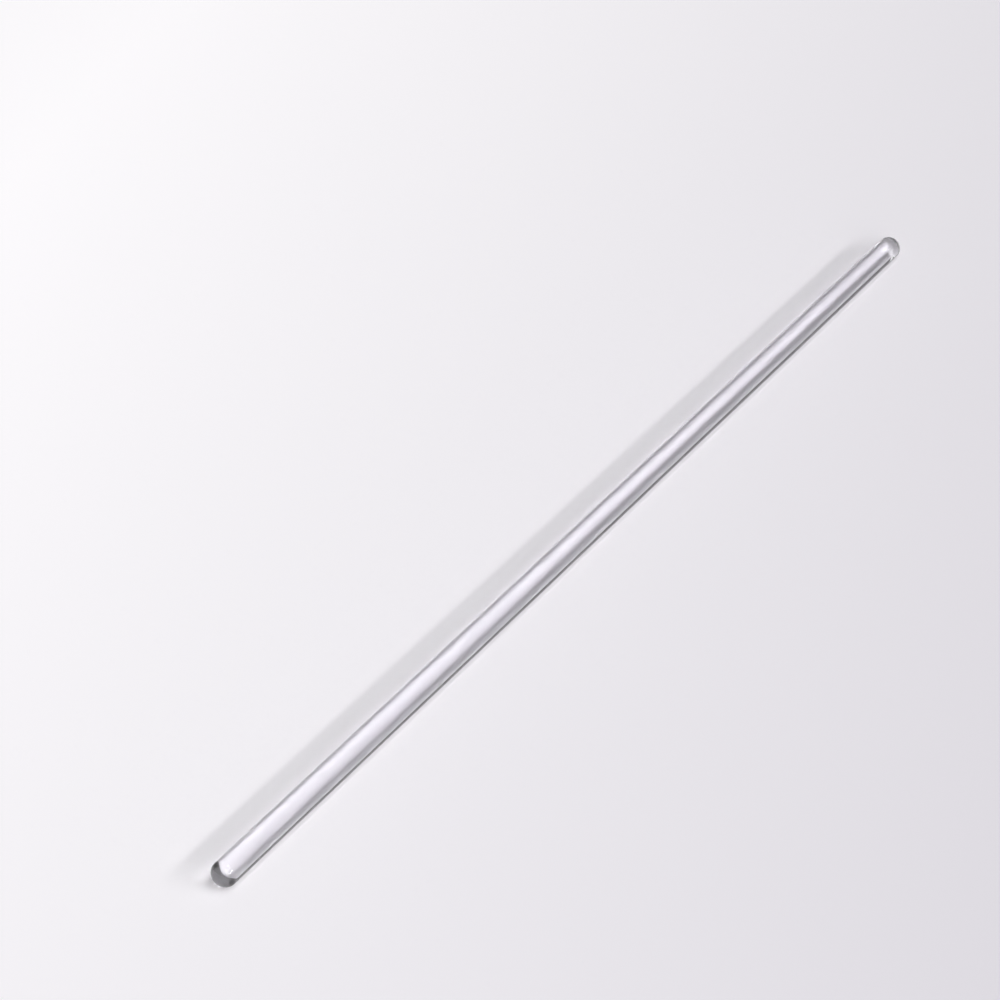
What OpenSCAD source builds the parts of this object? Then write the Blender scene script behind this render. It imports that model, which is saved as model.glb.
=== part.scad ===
// Solid glass stirring rod with both ends melted round.
// The rod lies along X. The origin is on its axis, midway between the two ends.

/* [Rod] */
// Overall length, from tip to tip
rod_length = 400; // [100:1:600]
// Diameter of the drawn rod
rod_diameter = 8; // [3:0.5:16]

/* [Ends] */
// Radius that flame polishing leaves round the rim at the -X end
left_rim_radius = 3.4; // [0.2:0.1:3.8]
// Radius that flame polishing leaves round the rim at the +X end
right_rim_radius = 3.4; // [0.2:0.1:3.8]

/* [Hidden] */
$fn = 96;

// Smallest flat that is left in the middle of an end
flat_radius = 0.2;

rod_radius = rod_diameter / 2;
half_length = rod_length / 2;
largest_rim = rod_radius - flat_radius;

// Half section of one half of the rod about the y axis, from the middle to its rounded rim
module half_section(rim_radius) {
    face_radius = rod_radius - rim_radius;
    wall_length = half_length - rim_radius;
    square([rod_radius, wall_length]);
    square([face_radius, half_length]);
    // The round, kept on its own side of the axis
    intersection() {
        square([rod_diameter, rod_length]);
        translate([face_radius, wall_length]) circle(r = rim_radius);
    }
}

module glass_rod() {
    color([0.87, 0.90, 0.92, 0.5])
        rotate([0, 90, 0])
            rotate_extrude() {
                half_section(min(right_rim_radius, largest_rim));
                mirror([0, 1]) half_section(min(left_rim_radius, largest_rim));
            }
}

glass_rod();
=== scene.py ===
"""Looks of the glass stirring rod: a drawn clear glass rod lying on a pale studio surface."""

import math

import bpy
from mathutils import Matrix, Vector


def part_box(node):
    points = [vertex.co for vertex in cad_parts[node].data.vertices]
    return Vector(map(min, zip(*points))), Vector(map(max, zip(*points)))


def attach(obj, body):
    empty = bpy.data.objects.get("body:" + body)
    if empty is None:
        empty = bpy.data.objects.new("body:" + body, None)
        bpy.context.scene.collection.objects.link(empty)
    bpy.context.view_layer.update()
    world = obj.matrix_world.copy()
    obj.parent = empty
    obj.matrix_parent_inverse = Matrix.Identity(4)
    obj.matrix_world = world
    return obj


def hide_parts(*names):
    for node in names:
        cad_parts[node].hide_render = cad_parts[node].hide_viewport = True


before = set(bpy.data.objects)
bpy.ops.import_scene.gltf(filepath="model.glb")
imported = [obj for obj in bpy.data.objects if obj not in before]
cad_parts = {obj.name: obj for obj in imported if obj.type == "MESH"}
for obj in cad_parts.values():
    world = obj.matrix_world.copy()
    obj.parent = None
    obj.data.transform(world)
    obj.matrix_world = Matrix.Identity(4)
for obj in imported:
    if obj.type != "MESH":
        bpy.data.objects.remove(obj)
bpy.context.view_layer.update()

MM = 0.001
NODE = "glass_rod"

# ---------------------------------------------------------------- rod mesh

low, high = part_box(NODE)
HALF_LENGTH = (high[0] - low[0]) / 2
RADIUS = (high[2] - low[2]) / 2
AXIS_Z = (high[2] + low[2]) / 2

RIM = 3.4 * MM  # radius of the round that flame polishing leaves
SEGMENTS = 128
WALL_RINGS = 260
RIM_RINGS = 28
FACE_RINGS = 3

# How pulled glass departs from a true cylinder: shares of the radius, radians per metre, radians
TAPER, TAPER_RATE, TAPER_START = 0.004, 31.0, 0.6
OVAL, OVAL_TWIST = 0.003, 9.0
RIPPLE, RIPPLE_RATE, RIPPLE_START, RIPPLE_SWELL = 0.0012, 170.0, 1.9, 47.0


def end_profile():
    """(distance in from the tip, radius) from near the middle of an end to where its round stops."""
    face_radius = RADIUS - RIM
    points = [(0.0, face_radius * i / FACE_RINGS) for i in range(1, FACE_RINGS)]
    for i in range(RIM_RINGS + 1):
        angle = 0.5 * math.pi * i / RIM_RINGS
        points.append((RIM * (1 - math.cos(angle)), face_radius + RIM * math.sin(angle)))
    return points


def drawn(x, turn):
    """Scale for the radius x metres along the rod and at a turn about it, never above 1."""
    taper = TAPER * (1 + math.sin(TAPER_RATE * x + TAPER_START))
    oval = OVAL * (1 + math.cos(2 * turn + OVAL_TWIST * x))
    ripple = RIPPLE * (1 + math.sin(RIPPLE_RATE * x + RIPPLE_START) * math.cos(RIPPLE_SWELL * x))
    return 1 - taper - oval - ripple


def rod_rings():
    """(x, radius) of every ring of vertices, from the -X end to the +X end."""
    end = end_profile()
    wall = HALF_LENGTH - RIM
    left = [(-HALF_LENGTH + inward, radius) for inward, radius in end]
    middle = [(wall * (2 * i / WALL_RINGS - 1), RADIUS) for i in range(1, WALL_RINGS)]
    right = [(HALF_LENGTH - inward, radius) for inward, radius in reversed(end)]
    return left + middle + right


def rod_mesh():
    """One closed mesh: quads between the rings, and a fan of triangles at each tip."""
    rings = rod_rings()
    verts = []
    for x, radius in rings:
        for s in range(SEGMENTS):
            turn = 2 * math.pi * s / SEGMENTS
            r = radius * drawn(x, turn)
            verts.append((x, r * math.cos(turn), AXIS_Z + r * math.sin(turn)))
    faces = []
    for first in range(0, (len(rings) - 1) * SEGMENTS, SEGMENTS):
        for s in range(SEGMENTS):
            a, b = first + s, first + (s + 1) % SEGMENTS
            faces.append((a, b, b + SEGMENTS, a + SEGMENTS))
    left_tip, right_tip = len(verts), len(verts) + 1
    verts += [(-HALF_LENGTH, 0, AXIS_Z), (HALF_LENGTH, 0, AXIS_Z)]
    last = (len(rings) - 1) * SEGMENTS
    for s in range(SEGMENTS):
        after = (s + 1) % SEGMENTS
        faces.append((left_tip, after, s))
        faces.append((right_tip, last + s, last + after))
    mesh = bpy.data.meshes.new("rod_glass")
    mesh.from_pydata(verts, [], faces)
    mesh.shade_smooth()
    return mesh


# ---------------------------------------------------------------- materials

GLASS_IOR = 1.474
GLASS_COLOUR = (0.76, 0.755, 0.775, 1)
ROUGH_CLEAN, ROUGH_HANDLED = 0.02, 0.08
# Noise along the rod, across it and its detail, then how deep it goes or which span of it counts
WAVE_CELLS, WAVE_DEPTH = (70, 220, 1), 0.012 * MM
DRAW_LINE_CELLS, DRAW_LINE_DEPTH = (12, 1400, 3), 0.0022 * MM
HANDLED_CELLS, HANDLED_SPAN = (90, 400, 4), (0.35, 0.70)
# The glass takes a little light from a ray that runs its whole length, and almost none across
ABSORBED_COLOUR, ABSORBED_PER_METRE = (0.24, 0.25, 0.26, 1), 0.7


def new_material(name):
    material = bpy.data.materials.new(name)
    material.use_nodes = True
    nodes = material.node_tree.nodes
    return material, nodes, material.node_tree.links, nodes["Principled BSDF"]


def stretched_noise(nodes, links, along, across, detail):
    """Noise that is stretched along the rod: cells to a metre each way, and octaves of detail."""
    coord = nodes.new("ShaderNodeTexCoord")
    stretch = nodes.new("ShaderNodeMapping")
    noise = nodes.new("ShaderNodeTexNoise")
    stretch.inputs["Scale"].default_value = (along, across, across)
    noise.inputs["Scale"].default_value = 1.0
    noise.inputs["Detail"].default_value = detail
    links.new(coord.outputs["Object"], stretch.inputs["Vector"])
    links.new(stretch.outputs["Vector"], noise.inputs["Vector"])
    return noise.outputs["Fac"]


def bump(nodes, links, height, depth):
    node = nodes.new("ShaderNodeBump")
    node.inputs["Strength"].default_value = 1.0
    node.inputs["Distance"].default_value = depth
    links.new(height, node.inputs["Height"])
    return node


def remap(nodes, links, value, source, target):
    node = nodes.new("ShaderNodeMapRange")
    node.inputs["From Min"].default_value, node.inputs["From Max"].default_value = source
    node.inputs["To Min"].default_value, node.inputs["To Max"].default_value = target
    links.new(value, node.inputs["Value"])
    return node.outputs["Result"]


def glass_material():
    material, nodes, links, shader = new_material("clear_drawn_glass")
    shader.inputs["Base Color"].default_value = GLASS_COLOUR
    shader.inputs["Transmission Weight"].default_value = 1.0
    shader.inputs["IOR"].default_value = GLASS_IOR

    # Slow waves left by the drawing, with fine lines along the rod over them
    waves = bump(nodes, links, stretched_noise(nodes, links, *WAVE_CELLS), WAVE_DEPTH)
    lines = bump(nodes, links, stretched_noise(nodes, links, *DRAW_LINE_CELLS), DRAW_LINE_DEPTH)
    links.new(waves.outputs["Normal"], lines.inputs["Normal"])
    links.new(lines.outputs["Normal"], shader.inputs["Normal"])

    # Faint patches where the rod has been held and wiped
    handled = stretched_noise(nodes, links, *HANDLED_CELLS)
    rough = remap(nodes, links, handled, HANDLED_SPAN, (ROUGH_CLEAN, ROUGH_HANDLED))
    links.new(rough, shader.inputs["Roughness"])

    absorption = nodes.new("ShaderNodeVolumeAbsorption")
    absorption.inputs["Color"].default_value = ABSORBED_COLOUR
    absorption.inputs["Density"].default_value = ABSORBED_PER_METRE
    links.new(absorption.outputs["Volume"], nodes["Material Output"].inputs["Volume"])
    return material


# ---------------------------------------------------------------- the piece

rod = bpy.data.objects.new("rod_glass", rod_mesh())
bpy.context.collection.objects.link(rod)
rod.data.materials.append(glass_material())
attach(rod, "root")
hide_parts(NODE)

# ---------------------------------------------------------------- camera

# The camera looks along this azimuth and this far below level, from this many metres away
HEADING, TILT, DISTANCE = 32.03, 34.25, 1.121
LOOK_AT = Vector((-0.0058, 0.0319, AXIS_Z))
LENS_MM, SENSOR_MM = 130.0, 36.0


def direction(azimuth, elevation):
    """Unit vector: azimuth in degrees from +X towards +Y, elevation above the floor."""
    a, e = math.radians(azimuth), math.radians(elevation)
    return Vector((math.cos(a) * math.cos(e), math.sin(a) * math.cos(e), math.sin(e)))


def aim(ob, place, back):
    """Puts a camera or a lamp at a place, with its back to the direction given."""
    ob.location = place
    ob.rotation_mode = "QUATERNION"
    ob.rotation_quaternion = back.to_track_quat("Z", "Y")
    bpy.context.collection.objects.link(ob)


toward = direction(HEADING, -TILT)
lens = bpy.data.cameras.new("camera")
lens.lens, lens.sensor_width = LENS_MM, SENSOR_MM
lens.clip_start, lens.clip_end = 0.05, 50
camera = bpy.data.objects.new("camera", lens)
aim(camera, LOOK_AT - toward * DISTANCE, -toward)
bpy.context.scene.camera = camera

# ---------------------------------------------------------------- floor

# Painted light and shade: the floor's colour pales from the near right of the camera's view to its far
# left, standing in for the studio's fall of light
FLOOR_PAINTED_SHADE, FLOOR_PAINTED_LIT = (0.60, 0.581, 0.622, 1), (0.93, 0.915, 0.935, 1)
FADE_SPAN = (-0.20, 0.264)
PAINTED_LIT_SIDE = direction(HEADING + 72, 0)
FLOOR_ROUGHNESS = 0.9
# Painted light: the floor glows a little with its painted colour, though it is no lamp, which keeps
# the rod's shadow faint
FLOOR_PAINTED_GLOW = 0.25
# Distances from the rod's middle between which the floor gives way to the backdrop
FLOOR_ENDS = (0.5, 2.2)
FLOOR_SIZE, FLOOR_GAP = 60, 0.02 * MM


def floor_material():
    material, nodes, links, shader = new_material("pale_floor")
    coord = nodes.new("ShaderNodeTexCoord")
    place = nodes.new("ShaderNodeVectorMath")
    place.operation = "DOT_PRODUCT"
    place.inputs[1].default_value = PAINTED_LIT_SIDE
    links.new(coord.outputs["Object"], place.inputs[0])
    # Painted light and shade: the floor's colour goes from shaded to lit across it
    tone = nodes.new("ShaderNodeMix")
    tone.data_type = "RGBA"
    tone.inputs["A"].default_value, tone.inputs["B"].default_value = FLOOR_PAINTED_SHADE, FLOOR_PAINTED_LIT
    links.new(remap(nodes, links, place.outputs["Value"], FADE_SPAN, (0, 1)), tone.inputs["Factor"])
    links.new(tone.outputs["Result"], shader.inputs["Base Color"])
    # Painted light: the floor's painted colour also glows
    links.new(tone.outputs["Result"], shader.inputs["Emission Color"])
    shader.inputs["Emission Strength"].default_value = FLOOR_PAINTED_GLOW
    shader.inputs["Roughness"].default_value = FLOOR_ROUGHNESS
    shader.inputs["Specular IOR Level"].default_value = 0.0

    distance = nodes.new("ShaderNodeVectorMath")
    distance.operation = "LENGTH"
    links.new(coord.outputs["Object"], distance.inputs[0])
    gone = nodes.new("ShaderNodeBsdfTransparent")
    fade = nodes.new("ShaderNodeMixShader")
    links.new(remap(nodes, links, distance.outputs["Value"], FLOOR_ENDS, (0, 1)), fade.inputs[0])
    links.new(shader.outputs[0], fade.inputs[1])
    links.new(gone.outputs[0], fade.inputs[2])
    links.new(fade.outputs[0], nodes["Material Output"].inputs["Surface"])
    return material


bpy.ops.mesh.primitive_plane_add(size=FLOOR_SIZE, location=(0, 0, low[2] - FLOOR_GAP))
floor = bpy.context.object
floor.name = "floor"
floor.data.materials.append(floor_material())

# ---------------------------------------------------------------- light

LAMP_DISTANCE = 6.0
# Azimuths of the long strips beside the rod and of the soft boxes off its near end
ACROSS_THE_ROD, OFF_THE_NEAR_END = -90.0, -130.0


def strip(name, elevation, across, along, power, azimuth=ACROSS_THE_ROD):
    """A soft box aimed at the rod: angles in degrees, width and level length in metres, watts."""
    light = bpy.data.lights.new(name, "AREA")
    light.shape = "RECTANGLE"
    light.size, light.size_y = along, across
    light.energy = power
    away = direction(azimuth, elevation)
    aim(bpy.data.objects.new(name, light), away * LAMP_DISTANCE, away)


strip("low", 28, 0.36, 6.0, 178)
strip("key", 57, 0.60, 6.0, 85)
strip("top", 76, 0.36, 6.0, 95)
strip("near_low", 24, 3.0, 3.0, 113, azimuth=OFF_THE_NEAR_END)
strip("near_high", 42, 3.0, 3.0, 45, azimuth=OFF_THE_NEAR_END)

# The patch of sky fades with this power of the cosine from its brightest point
SKY_TOWARD, SKY_EXPONENT, SKY_STRENGTH = direction(80, 40), 4.0, 0.30
BACKDROP = (0.80, 0.78, 0.83, 1)


def studio_world():
    """A soft patch of sky that lights the rod, behind an even backdrop that only the camera sees."""
    world = bpy.data.worlds.new("studio")
    world.use_nodes = True
    nodes, links = world.node_tree.nodes, world.node_tree.links
    coord = nodes.new("ShaderNodeTexCoord")
    facing = nodes.new("ShaderNodeVectorMath")
    facing.operation = "DOT_PRODUCT"
    facing.inputs[1].default_value = SKY_TOWARD
    links.new(coord.outputs["Generated"], facing.inputs[0])
    # Clamped, so that no light comes from the opposite half of the sky
    above = remap(nodes, links, facing.outputs["Value"], (0, 1), (0, 1))
    patch = nodes.new("ShaderNodeMath")
    patch.operation = "POWER"
    patch.inputs[1].default_value = SKY_EXPONENT
    links.new(above, patch.inputs[0])
    sky = nodes["Background"]
    links.new(remap(nodes, links, patch.outputs[0], (0, 1), (0, SKY_STRENGTH)), sky.inputs["Strength"])
    sky.inputs["Color"].default_value = (1, 1, 1, 1)
    backdrop = nodes.new("ShaderNodeBackground")
    backdrop.inputs["Color"].default_value = BACKDROP
    path = nodes.new("ShaderNodeLightPath")
    pick = nodes.new("ShaderNodeMixShader")
    links.new(path.outputs["Is Camera Ray"], pick.inputs[0])
    links.new(sky.outputs[0], pick.inputs[1])
    links.new(backdrop.outputs[0], pick.inputs[2])
    links.new(pick.outputs[0], nodes["World Output"].inputs["Surface"])
    return world


scene = bpy.context.scene
scene.world = studio_world()
scene.view_settings.view_transform = "Standard"

# Light that runs the rod's length takes dozens of inner reflections
INNER_REFLECTIONS = 64
scene.cycles.max_bounces = INNER_REFLECTIONS
scene.cycles.transmission_bounces = INNER_REFLECTIONS
scene.cycles.glossy_bounces = INNER_REFLECTIONS
# The light that the rod focuses on the floor stays sharp and bright
scene.cycles.blur_glossy = 0.0
scene.cycles.sample_clamp_indirect = 0.0
